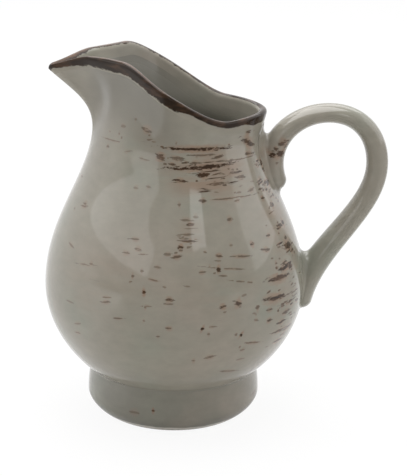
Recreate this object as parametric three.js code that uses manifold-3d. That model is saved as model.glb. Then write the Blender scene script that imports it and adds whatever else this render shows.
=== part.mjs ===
// A glazed stoneware milk jug: a round-bellied body on a foot ring, a lip that rises
// and draws out into a pouring beak, and a looped handle luted on at two joints.
// Millimetres, +Z up, handle towards +X, beak towards -X.
import * as THREE from 'three';
import { mergeVertices } from 'three/addons/utils/BufferGeometryUtils.js';
import Module from 'manifold-3d';

const wasm = await Module();
wasm.setup();

// Foot ring
const footHeight = 22.4;
const footRadius = 39;
const footBulgeHeight = 9.7;
const creaseRadius = 38.2;
const standingOuterRadius = 27.8;
const standingWidth = 4.5;
const footWall = 8.6;
// How far each end of a foot curve keeps its direction, as a share of the curve's extent
const footUnderTension = 0.42;
const footTopTension = 0.45;
const creaseTension = 0.3;
const recessTension = 0.4;

// Body of revolution, from the crease above the foot to the neck
const wall = 4.2;
const floorThickness = 4.6;
const bellyRadius = 58.3;
const bellyRise = 38.2;
const bowlSpringDegrees = 52.6;
const neckRadius = 36.4;
const neckRise = 76;

// How far each end of a body curve keeps its direction, as a share of the rise
const bowlSpringTension = 0.37;
const bowlBellyTension = 0.4;
const shoulderBellyTension = 0.406;
const shoulderNeckTension = 0.335;
// Share of the shoulder curve above which the section is no longer round
const lipLoftStart = 0.78;

// Lip and pouring beak; heights are above the neck
const mouthHalfWidth = 39;
const mouthBackReach = 39.9;
const mouthWidestShift = 3;
const beakReach = 55.5;
const beakTipRadius = 2.3;
const beakHalfDegrees = 17.7;
// Lengths over which the lip outline keeps its direction at each of its points
const mouthBackPull = 15.5;
const mouthSidePull = 18.5;
const beakThroatPull = 13.3;
const beakFlankPull = 27.7;
const beakTipWall = 6;
const lipRiseAtHandle = 5.1;
const lipRiseAtBeak = 29.7;
const lipClimbStartDegrees = 47.6;
const lipClimbEndDegrees = 137;
const beakDrop = 6.3;
const beakDropStartDegrees = 165;
const flareAtHandleDegrees = 12;
const flareAtBeakDegrees = 48;
const flareStartDegrees = 147.5;
const lipNeckTension = 0.55;
const lipFlareTension = 0.45;
const rimBandHeight = 6;

// Handle: its centre line lies in the XZ plane
const handleReach = 94.5;
const crownRise = 2.7;
const crownShare = 0.53;
const gripDrop = 20.6;
const upperRootDrop = 28.4;
const lowerRootDrop = 6.4;
const rootSink = 1.2;
// Angle between each root and the face of the body that it lies along
const upperLeanDegrees = 12.3;
const lowerLeanDegrees = 7.2;
// Lengths over which the centre line keeps its direction at each of its points
const upperRootPull = 18.4;
const crownInnerPull = 15.5;
const crownOuterPull = 14.2;
const gripUpperPull = 12.7;
const gripLowerPull = 21.2;
const lowerRootPull = 26.1;
const handleThickness = { upperRoot: 13.6, crown: 8.4, grip: 9.7, lowerRoot: 12.4 };
const handleWidth = { upperRoot: 15, crown: 13, grip: 12.6, lowerRoot: 19 };
const rootCapLength = 5;
const jointFillet = 3.6;
// Clay is heaped higher in the crotch above each root
const crotchFillet = { upperRoot: 9.5, lowerRoot: 8.5 };
const jointEdge = 0.5;

// Clearance between pieces whose curved faces meet
const seam = 0.3;

// Facets
const halfStations = 27;
const footSegments = 48;
const handleSides = 16;
const handleRings = 36;
const jointSections = 28;

const { clamp, degToRad, lerp, radToDeg, smoothstep } = THREE.MathUtils;
const bellyHeight = footHeight + bellyRise;
const neckHeight = bellyHeight + neckRise;

// Solids from rings of points

function facesOut(positions, indices) {
  let volume = 0;
  for (let i = 0; i < indices.length; i += 3) {
    const [a, b, c] = [0, 1, 2].map((k) => positions[indices[i + k]]);
    volume += a.dot(b.clone().cross(c));
  }
  return volume > 0;
}

// Skin over rings of equal count; the ends close on a pole, or the last ring meets the first.
function loft(rings, startPole, endPole) {
  const count = rings[0].length;
  const positions = rings.flat();
  const indices = [];
  const looped = !startPole;
  const bands = looped ? rings.length : rings.length - 1;
  for (let j = 0; j < bands; j++) {
    const low = j * count;
    const high = ((j + 1) % rings.length) * count;
    for (let i = 0; i < count; i++) {
      const next = (i + 1) % count;
      indices.push(low + i, low + next, high + next, low + i, high + next, high + i);
    }
  }
  if (!looped) {
    const top = (rings.length - 1) * count;
    const first = positions.push(startPole) - 1;
    const last = positions.push(endPole) - 1;
    for (let i = 0; i < count; i++) {
      const next = (i + 1) % count;
      indices.push(first, next, i, last, top + i, top + next);
    }
  }
  if (!facesOut(positions, indices)) indices.reverse();
  const geometry = new THREE.BufferGeometry().setFromPoints(positions);
  geometry.setIndex(indices);
  return geometry;
}

function toSolid(geometry) {
  const merged = mergeVertices(geometry);
  return new wasm.Manifold(new wasm.Mesh({
    numProp: 3,
    vertProperties: new Float32Array(merged.attributes.position.array),
    triVerts: new Uint32Array(merged.index.array),
  }));
}

function toGeometry(solid) {
  const mesh = solid.getMesh();
  const geometry = new THREE.BufferGeometry();
  geometry.setAttribute('position', new THREE.BufferAttribute(mesh.vertProperties, 3));
  geometry.setIndex(new THREE.BufferAttribute(mesh.triVerts, 1));
  return geometry;
}

// Body profile: x is the radius, y the height

function profileCurve(start, startPull, endPull, end) {
  return new THREE.CubicBezierCurve(start, start.clone().add(startPull), end.clone().add(endPull), end);
}

const crease = new THREE.Vector2(creaseRadius, footHeight);
const belly = new THREE.Vector2(bellyRadius, bellyHeight);
const neck = new THREE.Vector2(neckRadius, neckHeight);
const bowlSpring = new THREE.Vector2(
  Math.sin(degToRad(bowlSpringDegrees)),
  Math.cos(degToRad(bowlSpringDegrees)),
);
const bowlCurve = profileCurve(
  crease,
  bowlSpring.multiplyScalar(bowlSpringTension * bellyRise),
  new THREE.Vector2(0, -bowlBellyTension * bellyRise),
  belly,
);
const shoulderCurve = profileCurve(
  belly,
  new THREE.Vector2(0, shoulderBellyTension * neckRise),
  new THREE.Vector2(0, -shoulderNeckTension * neckRise),
  neck,
);

// Points along part of a profile curve, moved out of the body by an offset.
function profilePoints(curve, from, to, count, offset) {
  return Array.from({ length: count + 1 }, (_, k) => {
    const t = lerp(from, to, k / count);
    const tangent = curve.getTangent(t);
    return curve.getPoint(t).add(new THREE.Vector2(tangent.y, -tangent.x).multiplyScalar(offset));
  });
}

// Lip outline in plan, set in from the outer edge: an egg-shaped mouth whose flanks draw
// together into the beak.
function lipOutline(inset, tipWall, tipRadius) {
  const half = degToRad(beakHalfDegrees);
  const back = mouthBackReach - inset;
  const width = mouthHalfWidth - inset;
  const tipCentre = tipRadius + tipWall - beakReach;
  const flankX = tipCentre - tipRadius * Math.sin(half);
  const flankY = tipRadius * Math.cos(half);
  const path = new THREE.Path();
  path.moveTo(back, 0);
  path.bezierCurveTo(
    back, mouthBackPull,
    mouthSidePull - mouthWidestShift, width,
    -mouthWidestShift, width,
  );
  path.bezierCurveTo(
    -mouthWidestShift - beakThroatPull, width,
    flankX + beakFlankPull * Math.cos(half), flankY + beakFlankPull * Math.sin(half),
    flankX, flankY,
  );
  path.absarc(tipCentre, 0, tipRadius, Math.PI / 2 + half, Math.PI);
  const side = path.getSpacedPoints(halfStations);
  side[0].y = 0;
  side[halfStations].y = 0;
  const otherSide = side.slice(1, -1).reverse().map((p) => new THREE.Vector2(p.x, -p.y));
  return [...side, ...otherSide];
}

// Stations round the jug, one for each point of a lip outline: angle, radius, crest and flare there.
function lipStations(outline) {
  return outline.map((point) => {
    const angle = Math.atan2(point.y, point.x);
    const degrees = Math.abs(radToDeg(angle));
    const climb = smoothstep(degrees, lipClimbStartDegrees, lipClimbEndDegrees);
    const drop = Math.max(0, (degrees - beakDropStartDegrees) / (180 - beakDropStartDegrees));
    const spread = smoothstep(degrees, flareStartDegrees, 180);
    const flare = degToRad(lerp(flareAtHandleDegrees, flareAtBeakDegrees, spread));
    return {
      angle,
      radius: point.length(),
      crest: neckHeight + lerp(lipRiseAtHandle, lipRiseAtBeak, climb) - beakDrop * drop * drop,
      flare: new THREE.Vector2(Math.sin(flare), Math.cos(flare)),
    };
  });
}

const outerStations = lipStations(lipOutline(0, 0, beakTipRadius));
const innerStations = lipStations(lipOutline(wall, beakTipWall, beakTipRadius / 2));

// A profile point, radius and height, turned to an angle about the jug's axis.
function turned(point, angle) {
  return new THREE.Vector3(point.x * Math.cos(angle), point.x * Math.sin(angle), point.y);
}

function ring(stations, point) {
  return stations.map(({ angle }) => turned(point, angle));
}

// Wall lines from the round shoulder up to the lip, one for each station.
function lipCurves(stations, offset) {
  const [start] = profilePoints(shoulderCurve, lipLoftStart, 1, 1, offset);
  const lean = shoulderCurve.getTangent(lipLoftStart);
  return stations.map(({ angle, radius, crest, flare }) => {
    const end = new THREE.Vector2(radius, crest - wall / 2);
    const span = start.distanceTo(end);
    const points = [
      start,
      start.clone().addScaledVector(lean, lipNeckTension * span),
      end.clone().addScaledVector(flare, -lipFlareTension * span),
      end,
    ];
    return new THREE.CubicBezierCurve3(...points.map((point) => turned(point, angle)));
  });
}

// Rings across the wall lines, from the shoulder to a length short of their ends.
const lipSteps = [0, 0.2, 0.4, 0.6, 0.8, 1];

function lipRings(curves, steps, stopShort) {
  return steps.map((step) => curves.map((curve) => (
    curve.getPointAt(step * (1 - stopShort / curve.getLength()))
  )));
}

const outerCurves = lipCurves(outerStations, 0);
const innerCurves = lipCurves(innerStations, -wall);
const bandSeat = rimBandHeight - wall / 2;

// Body: belly, neck and beak in one hollow casting, open at the lip
function bodyGeometry() {
  const outside = [
    ...profilePoints(bowlCurve, 0, 1, 7, 0),
    ...profilePoints(shoulderCurve, 0, lipLoftStart, 8, 0).slice(1, -1),
  ];
  const bowlInside = profilePoints(bowlCurve, 0, 1, 8, -wall).slice(2);
  const floorHeight = footHeight + floorThickness;
  const inside = [
    ...profilePoints(shoulderCurve, 0, lipLoftStart, 6, -wall).slice(1, -1).reverse(),
    ...bowlInside.reverse(),
    new THREE.Vector2(creaseRadius - wall, floorHeight + wall / 4),
    new THREE.Vector2(creaseRadius - 2 * wall, floorHeight),
  ];
  const rings = [
    ...outside.map((point) => ring(outerStations, point)),
    ...lipRings(outerCurves, lipSteps, bandSeat),
    ...lipRings(innerCurves, lipSteps, bandSeat).reverse(),
    ...inside.map((point) => ring(innerStations, point)),
  ];
  return loft(rings, new THREE.Vector3(0, 0, footHeight), new THREE.Vector3(0, 0, floorHeight));
}

// Outer shape of the body without its hollow, grown by an offset, to cut what is luted onto it.
function bodyEnvelope(offset) {
  const outside = [
    ...profilePoints(bowlCurve, 0, 1, 14, offset),
    ...profilePoints(shoulderCurve, 0, lipLoftStart, 16, offset).slice(1, -1),
  ];
  const lip = lipRings(outerCurves, lipSteps, 0);
  lip.flat().forEach((point) => {
    const grown = 1 + offset / Math.hypot(point.x, point.y);
    point.x *= grown;
    point.y *= grown;
  });
  const rings = [...outside.map((point) => ring(outerStations, point)), ...lip];
  return loft(rings, new THREE.Vector3(0, 0, footHeight), new THREE.Vector3(0, 0, neckHeight));
}

// Rim band: the thickened, rounded edge that caps the wall all round the lip
function rimBandGeometry() {
  const seat = (curve) => 1 - (bandSeat - seam) / curve.getLength();
  const wallRings = (curves) => [0, 0.5, 1].map((step) => curves.map((curve) => (
    curve.getPointAt(lerp(seat(curve), 1, step))
  )));
  const crestRings = [0.25, 0.5, 0.75].map((share) => outerStations.map(({ angle, flare }, i) => {
    const outside = outerCurves[i].getPoint(1);
    const inside = innerCurves[i].getPoint(1);
    const middle = outside.lerp(inside, 0.5);
    const turn = Math.PI * share;
    return middle.clone()
      .addScaledVector(inside.sub(middle), Math.cos(turn))
      .addScaledVector(turned(flare, angle), wall / 2 * Math.sin(turn));
  }));
  return loft([...wallRings(innerCurves), ...crestRings, ...wallRings(outerCurves).reverse()]);
}

// Foot ring: bulging outside, flat standing face, recessed underneath
function footGeometry() {
  const recessRadius = footRadius - footWall;
  const standingInnerRadius = standingOuterRadius - standingWidth;
  const outline = new THREE.Path();
  outline.moveTo(creaseRadius - footWall, footHeight);
  outline.bezierCurveTo(
    recessRadius, lerp(footHeight, 0, recessTension),
    recessRadius, lerp(0, footBulgeHeight, recessTension),
    standingInnerRadius, 0,
  );
  outline.lineTo(standingOuterRadius, 0);
  outline.bezierCurveTo(
    lerp(standingOuterRadius, footRadius, footUnderTension), 0,
    footRadius, lerp(footBulgeHeight, 0, footUnderTension),
    footRadius, footBulgeHeight,
  );
  outline.bezierCurveTo(
    footRadius, lerp(footBulgeHeight, footHeight, footTopTension),
    creaseRadius, lerp(footHeight, footBulgeHeight, creaseTension),
    creaseRadius, footHeight,
  );
  outline.closePath();
  const geometry = new THREE.LatheGeometry(outline.getPoints(5), footSegments);
  geometry.rotateX(Math.PI / 2);
  geometry.deleteAttribute('normal');
  geometry.deleteAttribute('uv');
  return geometry;
}

// Body surface on the handle's side, as radius by height
const handleSideProfile = [
  ...profilePoints(bowlCurve, 0, 1, 40, 0),
  ...profilePoints(shoulderCurve, 0, lipLoftStart, 40, 0),
  ...outerCurves[0].getPoints(30).map((p) => new THREE.Vector2(p.x, p.z)),
];

function bodyRadius(height) {
  const last = handleSideProfile.length - 1;
  const inside = clamp(height, handleSideProfile[0].y, handleSideProfile[last].y);
  const above = Math.max(1, handleSideProfile.findIndex((p) => p.y >= inside));
  const low = handleSideProfile[above - 1];
  const high = handleSideProfile[above];
  return high.y > low.y ? lerp(low.x, high.x, (inside - low.y) / (high.y - low.y)) : high.x;
}

// How fast the body widens with height
function bodySlope(height) {
  const step = wall / 8;
  return (bodyRadius(height + step) - bodyRadius(height - step)) / (2 * step);
}

function bodyNormal(point) {
  const around = Math.atan2(point.y, point.x);
  return new THREE.Vector3(Math.cos(around), Math.sin(around), -bodySlope(point.z)).normalize();
}

// Handle centre line: up from the neck, over the crown, out to the grip, down to the belly
function handleSpine() {
  const root = (height) => new THREE.Vector3(bodyRadius(height) - rootSink, 0, height);
  const upper = root(neckHeight - upperRootDrop);
  const lower = root(bellyHeight - lowerRootDrop);
  const gripX = handleReach - handleThickness.grip / 2;
  const crown = new THREE.Vector3(lerp(upper.x, gripX, crownShare), 0, neckHeight + crownRise);
  const grip = new THREE.Vector3(gripX, 0, neckHeight - gripDrop);
  const shift = (point, x, z) => new THREE.Vector3(point.x + x, 0, point.z + z);
  const leave = (point, leanDegrees, pull) => {
    const lean = Math.atan(bodySlope(point.z)) + degToRad(leanDegrees);
    return shift(point, pull * Math.sin(lean), pull * Math.cos(lean));
  };
  const path = new THREE.CurvePath();
  path.add(new THREE.CubicBezierCurve3(
    upper,
    leave(upper, upperLeanDegrees, upperRootPull),
    shift(crown, -crownInnerPull, 0),
    crown,
  ));
  path.add(new THREE.CubicBezierCurve3(
    crown,
    shift(crown, crownOuterPull, 0),
    shift(grip, 0, gripUpperPull),
    grip,
  ));
  path.add(new THREE.CubicBezierCurve3(
    grip,
    shift(grip, 0, -gripLowerPull),
    leave(lower, lowerLeanDegrees, lowerRootPull),
    lower,
  ));
  return path;
}

const spine = handleSpine();
const spineLengths = spine.getCurveLengths();
const spineMarks = [0, ...spineLengths.map((length) => length / spineLengths.at(-1))];

// A handle size at a share of the spine: it swells towards each root.
function handleSize(sizes, share) {
  const [, crownMark, gripMark] = spineMarks;
  const upperSwell = Math.max(0, 1 - share / crownMark) ** 2;
  const lowerSwell = Math.max(0, (share - gripMark) / (1 - gripMark)) ** 2;
  const grip = lerp(sizes.crown, sizes.grip, smoothstep(share, crownMark, gripMark));
  return grip + (sizes.upperRoot - sizes.crown) * upperSwell + (sizes.lowerRoot - sizes.grip) * lowerSwell;
}

// Section of the handle at a share of the spine; past an end it closes like an ellipsoid.
function handleFrame(share, past, grown) {
  const tangent = spine.getTangent(share);
  const cap = rootCapLength + grown;
  const shrink = Math.sqrt(Math.max(0, 1 - (past / cap) ** 2));
  return {
    centre: spine.getPoint(share).addScaledVector(tangent, share > 0.5 ? past : -past),
    out: new THREE.Vector3(-tangent.z, 0, tangent.x),
    halfThickness: (handleSize(handleThickness, share) / 2 + grown) * shrink,
    halfWidth: (handleSize(handleWidth, share) / 2 + grown) * shrink,
  };
}

function handlePoint(frame, turn) {
  return frame.centre.clone()
    .addScaledVector(frame.out, frame.halfThickness * Math.cos(turn))
    .add(new THREE.Vector3(0, frame.halfWidth * Math.sin(turn), 0));
}

function handleGeometryUncut(grown) {
  const cap = rootCapLength + grown;
  const capSteps = [0.95, 0.75, 0.4].map((s) => s * cap);
  const frames = [
    ...capSteps.map((past) => handleFrame(0, past, grown)),
    ...Array.from({ length: handleRings + 1 }, (_, k) => handleFrame(k / handleRings, 0, grown)),
    ...capSteps.reverse().map((past) => handleFrame(1, past, grown)),
  ];
  const rings = frames.map((frame) => Array.from({ length: handleSides }, (_, i) => (
    handlePoint(frame, 2 * Math.PI * i / handleSides)
  )));
  return loft(rings, handleFrame(0, cap, grown).centre, handleFrame(1, cap, grown).centre);
}

const spineSteps = 240;
const spineSamples = Array.from({ length: spineSteps + 1 }, (_, k) => {
  const share = k / spineSteps;
  return { share, point: spine.getPoint(share) };
});

// Lifts a point onto the handle's surface, grown by an offset.
function ontoHandle(point, grown) {
  const near = spineSamples.reduce((best, sample) => (
    sample.point.distanceTo(point) < best.point.distanceTo(point) ? sample : best
  ));
  const { out, halfThickness, halfWidth } = handleFrame(near.share, 0, grown);
  const away = point.clone().sub(near.point);
  const end = near.share === 0 || near.share === 1;
  const lengthwise = end ? away.dot(spine.getTangent(near.share)) / (rootCapLength + grown) : 0;
  const size = Math.hypot(away.dot(out) / halfThickness, away.y / halfWidth, lengthwise);
  return near.point.clone().addScaledVector(away, 1 / size);
}

function ontoBody(point, offset) {
  const around = Math.atan2(point.y, point.x);
  const radius = bodyRadius(point.z) + offset;
  return new THREE.Vector3(radius * Math.cos(around), radius * Math.sin(around), point.z);
}

// Luted joint: a concave fillet of clay in the corner all round one root of the handle.
function jointGeometry(atLowerRoot) {
  const end = atLowerRoot ? 1 : 0;
  const middle = atLowerRoot ? spineMarks[2] : spineMarks[1];
  const place = (travel, turn) => {
    const run = Math.min(travel, 1);
    const past = Math.max(travel - 1, 0) * rootCapLength;
    return handlePoint(handleFrame(lerp(middle, end, run), Math.min(past, rootCapLength), 0), turn);
  };
  const crotch = atLowerRoot ? crotchFillet.lowerRoot : crotchFillet.upperRoot;
  const crotchTurn = atLowerRoot ? Math.PI : 0;
  const isOutside = (point) => Math.hypot(point.x, point.y) > bodyRadius(point.z);
  const sections = Array.from({ length: jointSections }, (_, k) => {
    const turn = 2 * Math.PI * k / jointSections;
    const fillet = lerp(jointFillet, crotch, Math.max(0, Math.cos(turn - crotchTurn)) ** 2);
    let clear = 0;
    let sunk = 2;
    for (let pass = 0; pass < 24; pass++) {
      const half = (clear + sunk) / 2;
      if (isOutside(place(half, turn))) clear = half;
      else sunk = half;
    }
    const corner = place(clear, turn);
    const fromBody = bodyNormal(corner);
    const fromHandle = ontoHandle(corner, 1).sub(ontoHandle(corner, 0)).normalize();
    const along = (normal, other) => normal.clone().addScaledVector(other, -normal.dot(other)).normalize();
    const upHandle = (share) => corner.clone().addScaledVector(along(fromBody, fromHandle), share * fillet);
    const upBody = (share) => corner.clone().addScaledVector(along(fromHandle, fromBody), share * fillet);
    const handleEdge = ontoHandle(upHandle(1), seam + jointEdge);
    const bodyEdge = ontoBody(upBody(1), seam + jointEdge);
    const bottom = corner.clone().add(fromBody.clone().add(fromHandle).multiplyScalar(seam + jointEdge));
    const hollow = new THREE.QuadraticBezierCurve3(handleEdge, bottom, bodyEdge);
    const buried = corner.clone().add(fromBody.clone().add(fromHandle).multiplyScalar(-jointFillet / 2));
    return [
      ontoHandle(upHandle(0.5), -jointEdge),
      ontoHandle(upHandle(1), -jointEdge),
      ...hollow.getPoints(4),
      ontoBody(upBody(1), -jointEdge),
      ontoBody(upBody(0.5), -jointEdge),
      buried,
    ];
  });
  const rings = sections[0].map((_, j) => sections.map((section) => section[j]));
  return loft(rings);
}

// Assembly

const glaze = new THREE.MeshStandardMaterial({ color: 0x98948b, roughness: 0.22, metalness: 0 });
const ironGlaze = new THREE.MeshStandardMaterial({ color: 0x4a3a31, roughness: 0.35, metalness: 0 });

const jug = new THREE.Group();

function addPiece(name, geometry, material) {
  const mesh = new THREE.Mesh(geometry, material);
  mesh.name = name;
  jug.add(mesh);
}

const bodyWithSeam = toSolid(bodyEnvelope(seam));
const handleWithSeam = toSolid(handleGeometryUncut(seam));
const fitted = (geometry, ...neighbours) => toGeometry(
  neighbours.reduce((solid, neighbour) => solid.subtract(neighbour), toSolid(geometry)),
);

addPiece('vessel_body', bodyGeometry(), glaze);
addPiece('rim_band', rimBandGeometry(), ironGlaze);
addPiece('foot_ring', footGeometry(), glaze);
addPiece('handle', fitted(handleGeometryUncut(0), bodyWithSeam), glaze);
addPiece('upper_handle_joint', fitted(jointGeometry(false), bodyWithSeam, handleWithSeam), glaze);
addPiece('lower_handle_joint', fitted(jointGeometry(true), bodyWithSeam, handleWithSeam), glaze);

// The origin is under the middle of the whole jug, on the surface that it stands on.
const box = new THREE.Box3().setFromObject(jug, true);
const centre = box.getCenter(new THREE.Vector3());
jug.position.set(-centre.x, -centre.y, -box.min.z);

export default jug;
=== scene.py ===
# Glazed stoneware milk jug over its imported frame. Lengths in the dictionaries are millimetres.
import math
import random

import bpy
import numpy as np
from mathutils import Matrix, Vector


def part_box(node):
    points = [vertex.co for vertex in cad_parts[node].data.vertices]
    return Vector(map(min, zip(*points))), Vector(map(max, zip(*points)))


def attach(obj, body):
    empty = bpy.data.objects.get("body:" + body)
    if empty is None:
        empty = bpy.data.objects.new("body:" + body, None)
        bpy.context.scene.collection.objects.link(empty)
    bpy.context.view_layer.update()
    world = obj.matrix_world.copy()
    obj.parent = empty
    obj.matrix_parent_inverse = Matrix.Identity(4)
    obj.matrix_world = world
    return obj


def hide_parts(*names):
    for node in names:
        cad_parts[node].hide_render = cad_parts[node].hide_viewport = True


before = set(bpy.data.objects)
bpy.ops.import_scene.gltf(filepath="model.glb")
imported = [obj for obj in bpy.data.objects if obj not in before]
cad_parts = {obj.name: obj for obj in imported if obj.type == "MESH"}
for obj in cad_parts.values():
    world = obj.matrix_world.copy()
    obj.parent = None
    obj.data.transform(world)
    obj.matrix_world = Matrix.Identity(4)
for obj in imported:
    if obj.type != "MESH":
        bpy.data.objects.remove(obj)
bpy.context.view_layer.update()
scene = bpy.context.scene
scene.view_settings.view_transform = "Standard"

mm = 0.001
footLow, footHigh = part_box("foot_ring")
axisX = (footLow.x + footHigh.x) / 2
axis = (axisX, 0, 0)  # the jug is turned about the upright line through this point
sharpAngle = math.radians(50)  # edges that turn more than this stay sharp
curveSteps = 64
mergeDistance = 1e-6
print("frame loaded, jug axis at x =", round(axisX, 5))


# Small maths

def smoothStep(x, low, high):
    t = np.clip((np.asarray(x, float) - low) / (high - low), 0, 1)
    return t * t * (3 - 2 * t)


def between(low, high, share):
    return low + (high - low) * share


def cubic(points, t):
    a, b, c, d = (np.asarray(p, float) for p in points)
    t = np.asarray(t, float)[..., None]
    return a * (1 - t) ** 3 + 3 * b * t * (1 - t) ** 2 + 3 * c * t * t * (1 - t) + d * t ** 3


def unit(vectors):
    return vectors / np.maximum(np.linalg.norm(vectors, axis=-1, keepdims=True), 1e-12)


def cubicSlope(points, t):
    a, b, c, d = (np.asarray(p, float) for p in points)
    t = np.asarray(t, float)[..., None]
    return unit((b - a) * (1 - t) ** 2 + 2 * (c - b) * t * (1 - t) + (d - c) * t * t)


def lean(degrees):
    return np.array([math.sin(math.radians(degrees)), math.cos(math.radians(degrees))])


def runLength(points):
    steps = np.linalg.norm(np.diff(points, axis=-2), axis=-1)
    return np.concatenate([np.zeros(steps.shape[:-1] + (1,)), np.cumsum(steps, axis=-1)], axis=-1)


def alongLine(points, lengths):
    run = runLength(points)
    return np.stack([np.interp(lengths, run, points[:, k]) for k in range(points.shape[1])], -1)


# Meshes from rows of points; rows are closed rings about the jug's axis, in millimetres

def addObject(name, data):
    thing = bpy.data.objects.new(name, data)
    scene.collection.objects.link(thing)
    return thing


def outwardFaces(points, faces):
    tris = np.array([(f[0], f[i], f[i + 1]) for f in faces for i in range(1, len(f) - 1)])
    a, b, c = points[tris[:, 0]], points[tris[:, 1]], points[tris[:, 2]]
    return faces if np.einsum("ij,ij->", a, np.cross(b, c)) > 0 else [f[::-1] for f in faces]


def skin(name, rows, poles=None, looped=False, lipDepth=None):
    rows = np.asarray(rows, float)
    rowCount, columns = rows.shape[:2]
    points = rows.reshape(-1, 3)
    faces = []
    for j in range(rowCount if looped else rowCount - 1):
        low, high = j * columns, ((j + 1) % rowCount) * columns
        for i in range(columns):
            k = (i + 1) % columns
            faces.append((low + i, low + k, high + k, high + i))
    if poles is not None:
        first, last, top = len(points), len(points) + 1, (rowCount - 1) * columns
        points = np.vstack([points, poles])
        for i in range(columns):
            k = (i + 1) % columns
            faces += [(first, k, i), (last, top + i, top + k)]
    mesh = bpy.data.meshes.new(name)
    mesh.from_pydata((points * mm + axis).tolist(), [], outwardFaces(points, faces))
    if lipDepth is not None:
        mesh.attributes.new("lipDepth", "FLOAT", "POINT").data.foreach_set("value", np.ravel(lipDepth))
    mesh.shade_smooth()
    mesh.set_sharp_from_angle(angle=sharpAngle)
    return addObject(name, mesh)


# Node helpers

def feed(socket, value):
    if isinstance(value, bpy.types.NodeSocket):
        socket.id_data.links.new(value, socket)
    else:
        socket.default_value = value


def newNode(tree, kind, inputs=(), **settings):
    # inputs are given in order, or by name
    node = tree.nodes.new(kind)
    for key, value in settings.items():
        setattr(node, key, value)
    for socket, value in inputs.items() if isinstance(inputs, dict) else enumerate(inputs):
        feed(node.inputs[socket], value)
    return node


def fedNode(kind, inputs, **settings):
    # a node in the same tree as what feeds it
    values = inputs.values() if isinstance(inputs, dict) else inputs
    tree = next(value.id_data for value in values if isinstance(value, bpy.types.NodeSocket))
    return newNode(tree, kind, inputs, **settings)


def newTree(name, inputs, outputs, kind="ShaderNodeTree"):
    tree = bpy.data.node_groups.new(name, kind)
    for side, sockets in (("INPUT", inputs), ("OUTPUT", outputs)):
        for title, socket in sockets.items():
            tree.interface.new_socket(title, in_out=side, socket_type="NodeSocket" + socket)
    return tree, newNode(tree, "NodeGroupInput").outputs, newNode(tree, "NodeGroupOutput").inputs


def calc(operation, *values):
    return fedNode("ShaderNodeMath", values, operation=operation).outputs[0]


def sums(operation):
    return lambda *values: calc(operation, *values)


plus, minus, times, over = sums("ADD"), sums("SUBTRACT"), sums("MULTIPLY"), sums("DIVIDE")
most, least, timesPlus = sums("MAXIMUM"), sums("MINIMUM"), sums("MULTIPLY_ADD")


def vectorCalc(operation, *values):
    node = fedNode("ShaderNodeVectorMath", values, operation=operation)
    return node.outputs["Value" if operation == "LENGTH" else "Vector"]


def scaled(vector, amount):
    return fedNode("ShaderNodeVectorMath", {0: vector, "Scale": amount}, operation="SCALE").outputs[0]


def joinXyz(*values):
    return fedNode("ShaderNodeCombineXYZ", values).outputs[0]


def splitXyz(vector):
    return fedNode("ShaderNodeSeparateXYZ", (vector,)).outputs


def remap(value, low, high, outLow=0.0, outHigh=1.0, kind="SMOOTHSTEP"):
    ends = {"Value": value, "From Min": low, "From Max": high, "To Min": outLow, "To Max": outHigh}
    return fedNode("ShaderNodeMapRange", ends, interpolation_type=kind).outputs["Result"]


def zone(value, ends, outLow=0.0, outHigh=1.0):
    # remap between ends in millimetres
    return remap(value, ends[0] * mm, ends[1] * mm, outLow, outHigh)


def blendValue(amount, low, high):
    return timesPlus(amount, minus(high, low), low)


# Camera at the photograph's angle

viewpoint = {
    "lookHeight": 80.0, "distance": 800.0, "azimuth": -1.0, "elevation": 17.77, "roll": 0.607,
    "focalPixels": 1777.8, "centrePixel": (174.72, 240.21), "framePixels": (407, 476),
    "sensorHeight": 36.0, "nearest": 10.0,
}


def makeCamera():
    azimuth, elevation, roll = (math.radians(viewpoint[turn]) for turn in ("azimuth", "elevation", "roll"))
    level = math.cos(elevation)
    back = Vector((math.sin(azimuth) * level, -math.cos(azimuth) * level, math.sin(elevation)))
    right = Vector((math.cos(azimuth), math.sin(azimuth), 0))
    up = back.cross(right)
    c, s = math.cos(roll), math.sin(roll)
    right, up = c * right + s * up, c * up - s * right
    width, height = viewpoint["framePixels"]
    acrossPixel, downPixel = viewpoint["centrePixel"]
    lens = bpy.data.cameras.new("photoView")
    lens.sensor_fit = "VERTICAL"
    lens.sensor_height = viewpoint["sensorHeight"]
    lens.lens = viewpoint["focalPixels"] * lens.sensor_height / height
    lens.shift_x = (width / 2 - acrossPixel) / height
    lens.shift_y = (downPixel - height / 2) / height
    lens.clip_start = viewpoint["nearest"] * mm
    camera = addObject("photoView", lens)
    place = Vector((axisX, 0, viewpoint["lookHeight"] * mm)) + back * viewpoint["distance"] * mm
    camera.matrix_world = Matrix.Translation(place) @ Matrix((right, up, back)).transposed().to_4x4()
    scene.camera = camera


makeCamera()
print("camera set")

# Vessel wall: a turned bowl and shoulder, then wall lines that run out to the lip

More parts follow.
